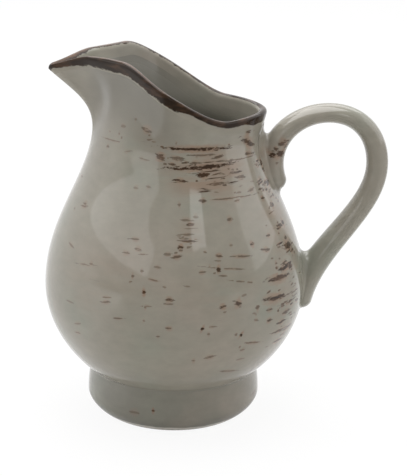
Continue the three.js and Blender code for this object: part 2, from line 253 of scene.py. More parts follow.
vessel = {
    "footHeight": 22.4, "creaseRadius": 38.2, "bellyRadius": 58.3, "bellyRise": 38.2, "neckRadius": 36.4,
    "neckRise": 76.0, "wall": 4.2, "floor": 4.6, "springDegrees": 52.6, "springPull": 0.37,
    "bellyPullDown": 0.4, "bellyPullUp": 0.406, "neckPull": 0.335, "lipStart": 0.78,
    "halfStations": 150, "bowlRows": 44, "shoulderRows": 54, "lipRows": 36,
    # the crease over the foot, and the edge under it that the foot hides
    "creaseFillet": 0.5, "creaseStep": 0.06, "filletRows": 9, "filletGap": 0.3,
    "lapInset": 0.5, "lapDrop": 0.3, "underInset": 3.0, "underGap": 0.02,
    # the corner inside, from the wall to the floor
    "cornerRise": 2.2, "cornerPull": 5.0, "cornerRows": 10, "floorPull": 6.0, "floorReach": 14.0,
    "floorMiddle": 10.0,
}
lip = {
    "halfWidth": 39.0, "backReach": 39.9, "widestShift": 3.0, "beakReach": 55.5, "tipRadius": 2.3,
    "beakHalfDegrees": 17.7, "backPull": 15.5, "sidePull": 18.5, "throatPull": 13.3, "flankPull": 27.7,
    "tipWall": 6.0, "riseAtHandle": 5.1, "riseAtBeak": 29.7, "climbStart": 47.6, "climbEnd": 137.0,
    "beakDrop": 6.3, "dropStart": 165.0, "flareAtHandle": 12.0, "flareAtBeak": 48.0, "flareStart": 147.5,
    "neckTension": 0.55, "flareTension": 0.45, "bandHeight": 6.0, "bandRows": 9, "crestRows": 13,
    "outlineSteps": 500, "tipSteps": 120, "wallSteps": 240, "farDepth": 100.0,
}
bellyHeight = vessel["footHeight"] + vessel["bellyRise"]
neckHeight = bellyHeight + vessel["neckRise"]
crease = np.array([vessel["creaseRadius"], vessel["footHeight"]])
belly = np.array([vessel["bellyRadius"], bellyHeight])
neck = np.array([vessel["neckRadius"], neckHeight])
bowlLine = [
    crease, crease + lean(vessel["springDegrees"]) * vessel["springPull"] * vessel["bellyRise"],
    belly - (0, vessel["bellyPullDown"] * vessel["bellyRise"]), belly,
]
shoulderLine = [
    belly, belly + (0, vessel["bellyPullUp"] * vessel["neckRise"]),
    neck - (0, vessel["neckPull"] * vessel["neckRise"]), neck,
]


def wallPoints(line, t, offset=0.0):
    slope = cubicSlope(line, t)
    return cubic(line, t) + offset * np.stack([slope[..., 1], -slope[..., 0]], -1)


def lipOutline(inset, tipWall, tipRadius):
    half = math.radians(lip["beakHalfDegrees"])
    back, width = lip["backReach"] - inset, lip["halfWidth"] - inset
    tipCentre = tipRadius + tipWall - lip["beakReach"]
    flank = np.array([tipCentre - tipRadius * math.sin(half), tipRadius * math.cos(half)])
    side = np.array([-lip["widestShift"], width])
    t = np.linspace(0, 1, lip["outlineSteps"])
    rear = cubic([(back, 0), (back, lip["backPull"]), side + (lip["sidePull"], 0), side], t)
    drawnOut = np.array([math.cos(half), math.sin(half)]) * lip["flankPull"]
    front = cubic([side, side - (lip["throatPull"], 0), flank + drawnOut, flank], t)
    turn = np.linspace(math.pi / 2 + half, math.pi, lip["tipSteps"])
    tip = np.stack([tipCentre + tipRadius * np.cos(turn), tipRadius * np.sin(turn)], -1)
    line = np.vstack([rear, front[1:], tip[1:]])
    count = vessel["halfStations"]
    near = alongLine(line, np.linspace(0, runLength(line)[-1], count + 1))
    near[[0, count], 1] = 0
    return np.vstack([near, near[count - 1:0:-1] * (1, -1)])


def lipStations(outline):
    angle = np.arctan2(outline[:, 1], outline[:, 0])
    degrees = np.abs(np.degrees(angle))
    climb = smoothStep(degrees, lip["climbStart"], lip["climbEnd"])
    drop = np.maximum(0, (degrees - lip["dropStart"]) / (180 - lip["dropStart"]))
    rise = between(lip["riseAtHandle"], lip["riseAtBeak"], climb)
    spread = smoothStep(degrees, lip["flareStart"], 180)
    flare = np.radians(between(lip["flareAtHandle"], lip["flareAtBeak"], spread))
    return {
        "angle": angle, "radius": np.hypot(outline[:, 0], outline[:, 1]),
        "crest": neckHeight + rise - lip["beakDrop"] * drop ** 2,
        "flare": np.stack([np.sin(flare), np.cos(flare)], -1),
    }


def turned(points, angle):
    points = np.broadcast_to(points, angle.shape + (2,))
    return np.stack([points[..., 0] * np.cos(angle), points[..., 0] * np.sin(angle), points[..., 1]], -1)


def lipLines(stations, offset):
    leaves = np.array([vessel["lipStart"]])
    start = wallPoints(shoulderLine, leaves, offset)[0]
    slope = cubicSlope(shoulderLine, leaves)[0]
    ends = np.stack([stations["radius"], stations["crest"] - vessel["wall"] / 2], -1)
    t = np.linspace(0, 1, lip["wallSteps"])
    lines = []
    for end, flare, span in zip(ends, stations["flare"], np.linalg.norm(ends - start, axis=1)):
        up, down = slope * lip["neckTension"] * span, flare * lip["flareTension"] * span
        lines.append(cubic([start, start + up, end - down, end], t))
    return np.array(lines)


def toSeat(total, share):
    return share * (total - seatLength)


def fromEnd(total, gap):
    return total - gap


def acrossLip(stations, stopAt, values):
    # rows along the wall lines, and how far each row is from the lines' ends
    rows, depths = [], []
    totals = runLength(stations["lines"])[:, -1]
    for value in values:
        stops = stopAt(totals, value)
        points = [alongLine(line, np.array([stop]))[0] for line, stop in zip(stations["lines"], stops)]
        rows.append(turned(np.array(points), stations["angle"]))
        depths.append(totals - stops)
    return rows, np.array(depths)


outerWall = lipStations(lipOutline(0, 0, lip["tipRadius"]))
innerWall = lipStations(lipOutline(vessel["wall"], lip["tipWall"], lip["tipRadius"] / 2))
outerWall["lines"] = lipLines(outerWall, 0)
innerWall["lines"] = lipLines(innerWall, -vessel["wall"])
seatLength = lip["bandHeight"] - vessel["wall"] / 2
crestHalf = math.pi / 2 * vessel["wall"] / 2  # from the middle of the crest to where the wall starts
stationCount = len(outerWall["angle"])


def roundRows(points, stations):
    return [turned(point, stations["angle"]) for point in points]


def makeBody():
    bowlT = np.linspace(0, 1, vessel["bowlRows"] + 1)
    shoulderT = np.linspace(0, vessel["lipStart"], vessel["shoulderRows"] + 1)
    outsideBowl, insideBowl = wallPoints(bowlLine, bowlT), wallPoints(bowlLine, bowlT, -vessel["wall"])
    # glaze pooled in the crease: a small fillet from the foot's side up to the bowl
    reach = vessel["creaseFillet"]
    springPoint = alongLine(outsideBowl, np.array([reach]))[0]
    footPoint, middle = crease + (vessel["creaseStep"], -reach), crease + (vessel["creaseStep"] / 2, 0)
    t = np.linspace(0, 1, vessel["filletRows"])[:, None]
    pooled = footPoint * (1 - t) ** 2 + 2 * t * (1 - t) * middle + springPoint * t ** 2
    under = crease - (vessel["underInset"], vessel["underGap"])
    lap = crease - (vessel["lapInset"], reach + vessel["lapDrop"])
    outside = np.vstack([
        [under, lap], pooled, outsideBowl[runLength(outsideBowl) > reach + vessel["filletGap"]],
        wallPoints(shoulderLine, shoulderT)[1:-1],
    ])
    floorHeight = vessel["footHeight"] + vessel["floor"]
    above = insideBowl[insideBowl[:, 1] > floorHeight + vessel["cornerRise"]]
    corner = above[0]
    bend = [
        corner, corner - unit(above[1] - corner) * vessel["cornerPull"],
        (corner[0] - vessel["floorPull"], floorHeight), (corner[0] - vessel["floorReach"], floorHeight),
    ]
    inside = np.vstack([
        wallPoints(shoulderLine, shoulderT, -vessel["wall"])[1:-1][::-2], above[::-2][:-1],
        cubic(bend, np.linspace(0, 1, vessel["cornerRows"])), [(vessel["floorMiddle"], floorHeight)],
    ])
    shares = np.linspace(0, 1, vessel["lipRows"] + 1)
    outerLip, outerDepth = acrossLip(outerWall, toSeat, shares)
    innerLip, innerDepth = acrossLip(innerWall, toSeat, shares[::2])
    rows = roundRows(outside, outerWall) + outerLip + innerLip[::-1] + roundRows(inside, innerWall)
    far = lip["farDepth"]
    depths = np.vstack([
        np.full((len(outside), stationCount), far), outerDepth + crestHalf,
        -innerDepth[::-1] - crestHalf, np.full((len(inside), stationCount), -far),
    ])
    poles = [(0, 0, vessel["footHeight"] - vessel["underGap"]), (0, 0, floorHeight)]
    return skin("jug_body", rows, poles, lipDepth=np.append(depths, [far, far]) * mm)


def makeRim():
    gaps = np.linspace(seatLength, 0, lip["bandRows"])
    outs, outDepth = acrossLip(outerWall, fromEnd, gaps)
    ins, inDepth = acrossLip(innerWall, fromEnd, gaps)
    middle = (outs[-1] + ins[-1]) / 2
    lift = turned(outerWall["flare"], outerWall["angle"]) * vessel["wall"] / 2
    crestRows, crestDepth = [], []
    for turn in np.linspace(0, math.pi, lip["crestRows"] + 2)[1:-1]:
        crestRows.append(middle + (ins[-1] - middle) * math.cos(turn) + lift * math.sin(turn))
        crestDepth.append(np.full(stationCount, -crestHalf * math.cos(turn)))
    depths = np.vstack([-inDepth - crestHalf, crestDepth, outDepth[::-1] + crestHalf])
    return skin("jug_rim", ins + crestRows + outs[::-1], looped=True, lipDepth=depths * mm)


body = makeBody()
rim = makeRim()
print("body and rim:", len(body.data.polygons), "and", len(rim.data.polygons), "faces")

# Foot ring, turned from a profile of curves

foot = {
    "Foot Height": vessel["footHeight"], "Foot Radius": 39.0, "Bulge Height": 9.7,
    "Crease Radius": vessel["creaseRadius"], "Standing Radius": 27.8, "Standing Width": 4.5, "Foot Wall": 8.6,
}
footPulls = {  # shares of the heights and radii between the profile's ends
    "recessHigh": 0.6, "recessLow": 0.4, "standing": 0.42, "bulgeLow": 0.58, "bulgeHigh": 0.45, "crease": 0.3,
}
footCounts = {"Columns": 192, "Rows": 22}


def newMeshTree(name, sizes, counts):
    inputs = {"Geometry": "Geometry", **dict.fromkeys(sizes, "Float"), **dict.fromkeys(counts, "Int")}
    return newTree(name, {**inputs, "Finish": "Material"}, {"Geometry": "Geometry"}, "GeometryNodeTree")


def closeTree(given, result, geometry):
    for kind, values in (
        ("MergeByDistance", {"Distance": mergeDistance}), ("SetShadeSmooth", {}),
        ("RealizeInstances", {}), ("SetMaterial", {"Material": given["Finish"]}),
    ):
        geometry = fedNode("GeometryNode" + kind, {"Geometry": geometry, **values}).outputs[0]
    feed(result["Geometry"], geometry)


def facesOutward(piece):
    mesh = piece.data
    points = np.array([v.co for v in mesh.vertices])
    faces = [tuple(p.vertices) for p in mesh.polygons]
    if outwardFaces(points - points.mean(0), faces) is not faces:
        mesh.flip_normals()


def runTree(name, holder, tree, sizes, plain):
    values = {**{title: size * mm for title, size in sizes.items()}, **plain}
    modifier = holder.modifiers.new(tree.name, "NODES")
    modifier.node_group = tree
    for item in tree.interface.items_tree:
        if item.item_type == "SOCKET" and item.in_out == "INPUT" and item.name in values:
            modifier[item.identifier] = values[item.name]
    evaluated = holder.evaluated_get(bpy.context.evaluated_depsgraph_get())
    mesh = bpy.data.meshes.new_from_object(evaluated)
    mesh.name = name
    holder.modifiers.remove(modifier)
    bpy.data.objects.remove(holder)
    piece = addObject(name, mesh)
    facesOutward(piece)
    return piece


def gridShares(tree, columns, rows):
    # a flat sheet whose two directions run from 0 to 1, to be bent into shape
    grid = newNode(tree, "GeometryNodeMeshGrid", {
        "Size X": 1, "Size Y": 1, "Vertices X": columns, "Vertices Y": rows})
    place = splitXyz(newNode(tree, "GeometryNodeInputPosition").outputs[0])
    return grid.outputs["Mesh"], plus(place["X"], 0.5), plus(place["Y"], 0.5)


def sampleLine(curve, share):
    sample = fedNode(
        "GeometryNodeSampleCurve", {"Curves": curve, "Factor": share},
        mode="FACTOR", data_type="FLOAT", use_all_curves=True)
    return sample.outputs["Position"], sample.outputs["Tangent"]


def setPlace(geometry, position):
    places = {"Geometry": geometry, "Position": position}
    return fedNode("GeometryNodeSetPosition", places).outputs["Geometry"]


def footTree():
    tree, given, result = newMeshTree("turnedFoot", foot, footCounts)
    height, radius, bulge = given["Foot Height"], given["Foot Radius"], given["Bulge Height"]
    creaseEdge, stand, wall = given["Crease Radius"], given["Standing Radius"], given["Foot Wall"]
    recess = minus(radius, wall)
    flat = lambda r, z: joinXyz(r, 0.0, z)
    part = lambda pull, low, high: blendValue(footPulls[pull], low, high)
    topIn, topOut = flat(minus(creaseEdge, wall), height), flat(creaseEdge, height)
    standIn, standOut = flat(minus(stand, given["Standing Width"]), 0.0), flat(stand, 0.0)
    widest = flat(radius, bulge)
    bends = [
        (topIn, flat(recess, part("recessHigh", 0.0, height)),
         flat(recess, part("recessLow", 0.0, bulge)), standIn),
        (standIn, standIn, standOut, standOut),
        (standOut, flat(part("standing", stand, radius), 0.0),
         flat(radius, part("bulgeLow", 0.0, bulge)), widest),
        (widest, flat(radius, part("bulgeHigh", bulge, height)),
         flat(creaseEdge, part("crease", height, bulge)), topOut),
        (topOut, topOut, topIn, topIn),
    ]
    joined = newNode(tree, "GeometryNodeJoinGeometry")
    for bend in bends:
        ends = dict(zip(("Start", "Start Handle", "End Handle", "End"), bend), Resolution=curveSteps)
        segment = fedNode("GeometryNodeCurvePrimitiveBezierSegment", ends, mode="POSITION")
        sheet, around, up = gridShares(tree, given["Columns"], given["Rows"])
        point, _ = sampleLine(segment.outputs["Curve"], up)
        turn = {"Vector": point, "Angle": times(around, math.tau)}
        spun = fedNode("ShaderNodeVectorRotate", turn, rotation_type="Z_AXIS").outputs[0]
        feed(joined.inputs["Geometry"], setPlace(sheet, vectorCalc("ADD", spun, axis)))
    closeTree(given, result, joined.outputs[0])
    return tree


def makeFoot():
    holder = addObject("footHolder", bpy.data.meshes.new("footHolder"))
    piece = runTree("jug_foot", holder, footTree(), foot, footCounts)
    piece.data.set_sharp_from_angle(angle=sharpAngle)
    return piece


footRing = makeFoot()
print("foot:", len(footRing.data.polygons), "faces")

# Handle: an oval section swept along its centre line, closed at both roots

handle = {
    "reach": 94.5, "crownRise": 2.7, "crownShare": 0.53, "gripDrop": 20.6, "upperRootDrop": 28.4,
    "lowerRootDrop": 6.4, "rootSink": 1.2, "upperLean": 12.3, "lowerLean": 7.2, "upperRootPull": 18.4,
    "crownInnerPull": 15.5, "crownOuterPull": 14.2, "gripUpperPull": 12.7, "gripLowerPull": 21.2,
    "lowerRootPull": 26.1, "wallSteps": 300, "spineSteps": 400, "slopeStep": 0.05,
}
handleSizes = {
    "Upper Thickness": 13.6, "Crown Thickness": 8.4, "Grip Thickness": 9.7, "Lower Thickness": 12.4,
    "Upper Width": 15.0, "Crown Width": 13.0, "Grip Width": 12.6, "Lower Width": 19.0, "Root Cap": 5.0,
}
handleCounts = {"Rows": 260, "Sides": 73}  # the last side meets the first
handlePlaces = ("Upper", "Crown", "Grip", "Lower")

wallT = np.linspace(0, 1, handle["wallSteps"])
handleSide = np.vstack([
    wallPoints(bowlLine, wallT), wallPoints(shoulderLine, wallT * vessel["lipStart"])[1:],
    outerWall["lines"][0][1:],
])


def bodyRadius(height):
    return np.interp(height, handleSide[:, 1], handleSide[:, 0])


def bodySlope(height):
    return bodyRadius(height + 0.5) - bodyRadius(height - 0.5)  # over one millimetre


def spineBends():
    def root(height):
        return np.array([bodyRadius(height) - handle["rootSink"], height])

    def leave(point, end):
        wallLean = math.degrees(math.atan(bodySlope(point[1])))
        return point + handle[end + "RootPull"] * lean(wallLean + handle[end + "Lean"])

    upper = root(neckHeight - handle["upperRootDrop"])
    lower = root(bellyHeight - handle["lowerRootDrop"])
    gripX = handle["reach"] - handleSizes["Grip Thickness"] / 2
    crown = np.array([between(upper[0], gripX, handle["crownShare"]), neckHeight + handle["crownRise"]])
    grip = np.array([gripX, neckHeight - handle["gripDrop"]])
    return [
        [upper, leave(upper, "upper"), crown - (handle["crownInnerPull"], 0), crown],
        [crown, crown + (handle["crownOuterPull"], 0), grip + (0, handle["gripUpperPull"]), grip],
        [grip, grip - (0, handle["gripLowerPull"]), leave(lower, "lower"), lower],
    ]


def makeSpine(bends):
    line = bpy.data.curves.new("handleSpine", "CURVE")
    line.dimensions = "3D"
    line.resolution_u = curveSteps
    spline = line.splines.new("BEZIER")
    spline.bezier_points.add(len(bends))
    place = lambda p: (p[0] * mm + axisX, 0, p[1] * mm)
    for k, knot in enumerate(spline.bezier_points):
        at = bends[k][0] if k < len(bends) else bends[-1][3]
        knot.handle_left_type = knot.handle_right_type = "FREE"
        knot.co = place(at)
        knot.handle_left = place(bends[k - 1][2] if k else at)
        knot.handle_right = place(bends[k][1] if k < len(bends) else at)
    return addObject("handleSpine", line)


def handleTree():
    marks = ["Crown Mark", "Grip Mark", "Spine Length"]
    tree, given, result = newMeshTree("sweptHandle", list(handleSizes) + marks, handleCounts)
    crownMark, gripMark, length = (given[mark] for mark in marks)
    sheet, along, around = gridShares(tree, given["Rows"], given["Sides"])
    capShare = over(given["Root Cap"], length)
    reach = minus(times(along, timesPlus(capShare, 2.0, 1.0)), capShare)
    share = least(most(reach, 0.0), 1.0)
    past = times(minus(reach, share), length)  # into the rounded caps
    ratio = over(past, given["Root Cap"])
    shrink = calc("SQRT", most(minus(1.0, times(ratio, ratio)), 0.0))
    upperRun = minus(1.0, over(share, crownMark))
    lowerRun = over(minus(share, gripMark), minus(1.0, gripMark))
    upperSwell, lowerSwell = (calc("POWER", most(run, 0.0), 2.0) for run in (upperRun, lowerRun))
    toGrip = remap(share, crownMark, gripMark)

    def halfSize(kind):
        upper, crown, grip, lower = (given[f"{place} {kind}"] for place in handlePlaces)
        size = blendValue(toGrip, crown, grip)
        size = timesPlus(upperSwell, minus(upper, crown), size)
        size = timesPlus(lowerSwell, minus(lower, grip), size)
        return times(times(size, 0.5), shrink)

    centre, tangent = sampleLine(given["Geometry"], share)
    parts = splitXyz(tangent)
    outward = joinXyz(times(parts["Z"], -1.0), 0.0, parts["X"])
    turn = times(around, math.tau)
    centre = vectorCalc("ADD", centre, scaled(tangent, past))
    thick = scaled(outward, times(halfSize("Thickness"), calc("COSINE", turn)))
    wide = joinXyz(0.0, times(halfSize("Width"), calc("SINE", turn)), 0.0)
    point = vectorCalc("ADD", centre, vectorCalc("ADD", thick, wide))
    closeTree(given, result, setPlace(sheet, point))
    return tree


bends = spineBends()
spineLine = np.vstack([cubic(bend, np.linspace(0, 1, handle["spineSteps"])) for bend in bends])
spineRun = runLength(spineLine)
spineLength = spineRun[-1]
crownMark, gripMark = (spineRun[k * handle["spineSteps"] - 1] / spineLength for k in (1, 2))


def makeHandle():
    sizes = {**handleSizes, "Spine Length": spineLength}
    plain = {**handleCounts, "Crown Mark": crownMark, "Grip Mark": gripMark}
    return runTree("jug_handle", makeSpine(bends), handleTree(), sizes, plain)


handlePiece = makeHandle()
print("handle:", len(handlePiece.data.polygons), "faces")

# Handle joints: clay smoothed round each root, a closed ring apiece

joint = {
    "fillet": 3.6, "upperCrotch": 12.0, "lowerCrotch": 9.0, "pull": 0.6, "lift": 0.04, "sink": 0.7,
    "columns": 96, "rows": 16, "searchSteps": 1500, "turnStep": 0.01,
    "upperStart": 0.8, "lowerStart": 0.1, "capUsed": 0.98,  # where the search for the body's surface runs
}


def handleSurface(reach, turn):
    # the swept handle once more, as numbers
    share = np.clip(reach, 0, 1)
    past = (reach - share) * spineLength
    shrink = np.sqrt(np.maximum(1 - (past / handleSizes["Root Cap"]) ** 2, 0))
    upperSwell = np.maximum(1 - share / crownMark, 0) ** 2
    lowerSwell = np.maximum((share - gripMark) / (1 - gripMark), 0) ** 2
    toGrip = smoothStep(share, crownMark, gripMark)

    def halfSize(kind):
        upper, crown, grip, lower = (handleSizes[f"{place} {kind}"] for place in handlePlaces)
        size = between(crown, grip, toGrip) + (upper - crown) * upperSwell + (lower - grip) * lowerSwell
        return size / 2 * shrink

    at, step = share * spineLength, handle["slopeStep"]
    centre = alongLine(spineLine, at)
    slope = unit(alongLine(spineLine, at + step) - alongLine(spineLine, at - step))
    out = halfSize("Thickness") * np.cos(turn)
    return np.stack([
        centre[:, 0] + slope[:, 0] * past - slope[:, 1] * out,
        halfSize("Width") * np.sin(turn),
        centre[:, 1] + slope[:, 1] * past + slope[:, 0] * out,
    ], -1)


def bodyNormal(point):
    return unit(np.array([*unit(point[:2]), -bodySlope(point[2])]))


def filletLine(turn, start, end, fillet):
    # one line of the ring: down the handle, round the fillet, out along the body, and back underneath
    reach = np.linspace(start, end, joint["searchSteps"])
    line, beside = handleSurface(reach, turn), handleSurface(reach, turn + joint["turnStep"])
    clear = np.hypot(line[:, 0], line[:, 1]) - bodyRadius(line[:, 2])
    k = int(np.argmax(clear < 0))
    run = runLength(line)
    meet = np.interp(0, [clear[k], clear[k - 1]], [run[k], run[k - 1]])
    stops = np.array([meet - fillet, meet])
    top, corner = alongLine(line, stops)
    aside = alongLine(beside, np.interp(stops, run, runLength(beside)))
    alongHandle = unit(corner - top)
    topOut, cornerOut = (unit(np.cross(alongHandle, b - p)) for p, b in zip((top, corner), aside))
    middle = alongLine(spineLine, np.array([reach[k] * spineLength]))[0]
    if np.dot(cornerOut, corner - (middle[0], 0, middle[1])) < 0:
        topOut, cornerOut = -topOut, -cornerOut
    bodyOut = bodyNormal(corner)
    edge = corner + fillet * unit(cornerOut - np.dot(cornerOut, bodyOut) * bodyOut)
    edge[:2] = unit(edge[:2]) * bodyRadius(edge[2])
    edgeOut = bodyNormal(edge)
    first, last = top + joint["lift"] * topOut, edge + joint["lift"] * edgeOut
    pull, sink = joint["pull"] * fillet, joint["sink"]
    bend = [first, first + pull * alongHandle, last + pull * unit(corner - edge), last]
    return np.vstack([
        [top - sink * topOut], cubic(bend, np.linspace(0, 1, joint["rows"])),
        [edge - sink * edgeOut, corner - sink * (cornerOut + bodyOut)],
    ])


def makeJoint(name, start, end, crotch, crotchTurn):
    turns = np.linspace(0, math.tau, joint["columns"], endpoint=False)
    fillets = between(joint["fillet"], crotch, np.maximum(np.cos(turns - crotchTurn), 0) ** 2)
    lines = np.array([filletLine(turn, start, end, fillet) for turn, fillet in zip(turns, fillets)])
    return skin(name, lines.transpose(1, 0, 2), looped=True)


capShare = handleSizes["Root Cap"] / spineLength * joint["capUsed"]
upperJoint = makeJoint(
    "jug_upper_joint", crownMark * joint["upperStart"], -capShare, joint["upperCrotch"], 0)
lowerJoint = makeJoint(
    "jug_lower_joint", gripMark + joint["lowerStart"], 1 + capShare, joint["lowerCrotch"], math.pi)
print("joints:", len(upperJoint.data.polygons) + len(lowerJoint.data.polygons), "faces")

# Shader groups that the finishes share

grain = {  # noise: cells in a metre, stretch across and up, detail, roughness, shift
    "clouds": (22, 1, 1, 3, 0.5, 0), "mottle": (130, 1, 1.8, 4, 0.6, 3.1),
    "streaks": (85, 0.7, 9, 5, 0.62, 0), "soaked": (60, 1, 5, 3, 0.5, 7.7),
    "bristles": (300, 1, 4, 5, 0.7, 1.7), "skips": (420, 1, 2.5, 3, 0.6, 4.9),
    "torn": (260, 1, 2.2, 5, 0.68, 0), "patches": (120, 1, 3, 4, 0.5, 5.3),
    "ripple": (45, 1, 1, 2, 0.5, 0), "pinholes": (420, 1, 1, 3, 0.5, 2.2), "wiped": (160, 1, 1, 3, 0.5, 0),
}
glaze = {
    "base": (0.256, 0.238, 0.197, 1), "warm": (0.276, 0.247, 0.206, 1), "cool": (0.24, 0.24, 0.197, 1),
    # the foot and beak colours are painted shade: darker glaze for the foot under the belly, the crease over
    # it and the inside of the mouth, and for the flare under the beak
    "foot": (0.216, 0.206, 0.172, 1), "beak": (0.176, 0.164, 0.136, 1), "wash": (0.25, 0.165, 0.115, 1),
    # the clay colour is bare clay, and along the foot's lower edge also a painted reflection of the floor
    "ironDeep": (0.022, 0.014, 0.009, 1), "ironPale": (0.14, 0.077, 0.046, 1), "clay": (0.75, 0.7, 0.63, 1),
    "gloss": 0.035, "insideGloss": 0.5, "shine": 0.5, "rimShine": 0.2, "index": 1.55, "washAmount": 0.8,
    "rippleDepth": 0.1, "rippleSize": 1.0, "rippleGloss": 0.05, "pinholeDepth": 0.05,
    "ironGloss": 0.04, "ironSink": -0.12, "thinOnBody": 0.14, "thinOnHandle": 0.2, "thinOnFoot": 0.3,
    # where on the noise a tint starts and ends, and what it runs between
    "warmClouds": (0.5, 0.72), "coolClouds": (0.5, 0.3), "mottle": (0.25, 0.75, 0.93, 1.07),
    "ironPatches": (0.45, 0.75, 0, 0.38),
}
dryStreaks = {  # a streak starts lower on the noise where there is more wear
    "start": (0.74, 0.46), "soft": 0.07, "fadeIn": (0.02, 0.5), "soak": 2.2, "clouds": (0.25, 0.65),
}
strokeEdges = {  # scale of the place within the stroke, raggedness, where the paint starts and is full
    "mark": ((1, 1, 0), 3.4, (1.06, 0.74)), "halo": ((1.7, 0.5, 0), 1.5, (2.0, 0.4)),
    "skips": (0.32, 0.44, 0.3, 1.0),
}
lipIron = {
    "tip": 4.2, "side": 6.4, "handle": 4.0, "end": 5.6, "inside": 2.3, "crest": 2.4, "soft": 0.25,
    "tear": 4.0, "tearLeft": 0.3, "thinAtBeak": 0.7, "thinAtHandle": 0.1,
    # between which x the edge takes each width, tears less and lies thicker
    "sideEnds": (-52, -38), "handleEnds": (-3, 6), "endEnds": (29, 34),
    "tearEnds": (-1, 6), "thinEnds": (-20, 4),
}


def useGroup(group, values):
    return fedNode("ShaderNodeGroup", values, node_tree=group).outputs


def noise(place, name):
    scale, across, up, detail, roughness, shift = grain[name]
    moved = vectorCalc("MULTIPLY_ADD", place, (across, across, up), (shift, shift, shift))
    values = {"Vector": moved, "Scale": scale, "Detail": detail, "Roughness": roughness}
    return fedNode("ShaderNodeTexNoise", values).outputs[0]


def mixColour(amount, first, second):
    colours = {0: amount, 6: first, 7: second}
    return fedNode("ShaderNodeMix", colours, data_type="RGBA").outputs[2]


def makeJugPlace():
    # object coordinates about the jug's own axis
    group, given, result = newTree("jugPlace", {"Place": "Vector"}, {"Centred": "Vector", "Height": "Float"})
    centred = vectorCalc("SUBTRACT", given["Place"], axis)
    feed(result["Centred"], centred)
    feed(result["Height"], splitXyz(centred)["Z"])
    return group


def makeGlazeTint():
    # clouds of two tints, with fine mottling over them
    inputs = {"Place": "Vector", "Base": "Color", "Warm": "Color", "Cool": "Color"}
    group, given, result = newTree("glazeTint", inputs, {"Colour": "Color"})
    clouds = noise(given["Place"], "clouds")
    tint = mixColour(remap(clouds, *glaze["warmClouds"]), given["Base"], given["Warm"])
    tint = mixColour(remap(clouds, *glaze["coolClouds"]), tint, given["Cool"])
    depth = remap(noise(given["Place"], "mottle"), *glaze["mottle"], "LINEAR")
    feed(result["Colour"], scaled(tint, depth))
    return group


def makeDryBrush():
    # broken level streaks, more of them where the density is higher, over a pale wash
    group, given, result = newTree(
        "dryBrush", {"Place": "Vector", "Density": "Float"}, {"Mark": "Float", "Wash": "Float"})
    density = given["Density"]
    edge = remap(density, 0, 1, *dryStreaks["start"], "LINEAR")
    streaks = noise(given["Place"], "streaks")
    mark = remap(streaks, edge, plus(edge, dryStreaks["soft"]))
    feed(result["Mark"], times(mark, remap(density, *dryStreaks["fadeIn"])))
    soaked = times(calc("POWER", density, 2.0), dryStreaks["soak"])
    clouds = remap(noise(given["Place"], "soaked"), *dryStreaks["clouds"])
    feed(result["Wash"], times(clouds, soaked))
    return group


def makeBrushMark():
    # strokes laid on the surface: place within the stroke in halves of its size, then its strength
    group, given, result = newTree(
        "brushMark", {"Place": "Vector", "Stroke": "Vector"}, {"Mark": "Float", "Halo": "Float"})
    strength = splitXyz(given["Stroke"])["Z"]
    bristles, skips = (noise(given["Place"], name) for name in ("bristles", "skips"))

    def paint(texture, size, ragged, edge):
        far = vectorCalc("LENGTH", vectorCalc("MULTIPLY", given["Stroke"], size))
        return remap(timesPlus(minus(texture, 0.5), ragged, far), *edge)

    mark = times(paint(bristles, *strokeEdges["mark"]), remap(skips, *strokeEdges["skips"]))
    feed(result["Mark"], times(mark, strength))
    feed(result["Halo"], times(paint(skips, *strokeEdges["halo"]), strength))
    return group


def makeIronEdge():
    # brown along the lip: widest outside beside the beak, narrower towards the handle, thin inside
    group, given, result = newTree(
        "ironEdge", {"Place": "Vector", "Lip Depth": "Float"}, {"Iron": "Float", "Crest": "Float"})
    x = splitXyz(given["Place"])["X"]
    width = zone(x, lipIron["sideEnds"], lipIron["tip"] * mm, lipIron["side"] * mm)
    for place in ("handle", "end"):
        width = blendValue(zone(x, lipIron[place + "Ends"]), width, lipIron[place] * mm)
    tear = lipIron["tear"] * mm
    tear = zone(x, lipIron["tearEnds"], tear, tear * lipIron["tearLeft"])
    torn = times(minus(noise(given["Place"], "torn"), 0.5), tear)
    depth = plus(given["Lip Depth"], torn)
    soft, inside = lipIron["soft"], lipIron["inside"]
    outer = zone(minus(depth, width), (soft, -soft))
    inner = zone(depth, (-inside - soft, -inside + soft))
    feed(result["Iron"], times(outer, inner))
    thin = zone(x, lipIron["thinEnds"], lipIron["thinAtBeak"], lipIron["thinAtHandle"])
    crest = zone(calc("ABSOLUTE", depth), (lipIron["crest"], 0))
    feed(result["Crest"], times(crest, thin))
    return group


def makeIronColour():
    # iron stain, deep where it lies thick and thin brown where it breaks over an edge
    inputs = {"Place": "Vector", "Thin": "Float", "Deep": "Color", "Pale": "Color"}
    group, given, result = newTree("ironColour", inputs, {"Colour": "Color"})
    patches = remap(noise(given["Place"], "patches"), *glaze["ironPatches"])
    amount = least(plus(patches, given["Thin"]), 1.0)
    feed(result["Colour"], mixColour(amount, given["Deep"], given["Pale"]))
    return group


def makeGlazeSkin():
    # slow ripples and pinholes of the fired glaze
    inputs = {"Place": "Vector", "Iron": "Float", "Gloss": "Float"}
    group, given, result = newTree("glazeSkin", inputs, {"Roughness": "Float", "Height": "Float"})
    ripple, pinholes = (noise(given["Place"], name) for name in ("ripple", "pinholes"))
    uneven = timesPlus(ripple, glaze["rippleGloss"], given["Gloss"])
    feed(result["Roughness"], timesPlus(given["Iron"], glaze["ironGloss"], uneven))
    height = timesPlus(pinholes, glaze["pinholeDepth"], ripple)
    feed(result["Height"], timesPlus(given["Iron"], glaze["ironSink"], height))
    return group


jugPlace, glazeTint, dryBrush, brushMark = makeJugPlace(), makeGlazeTint(), makeDryBrush(), makeBrushMark()
ironEdge, ironColour, glazeSkin = makeIronEdge(), makeIronColour(), makeGlazeSkin()

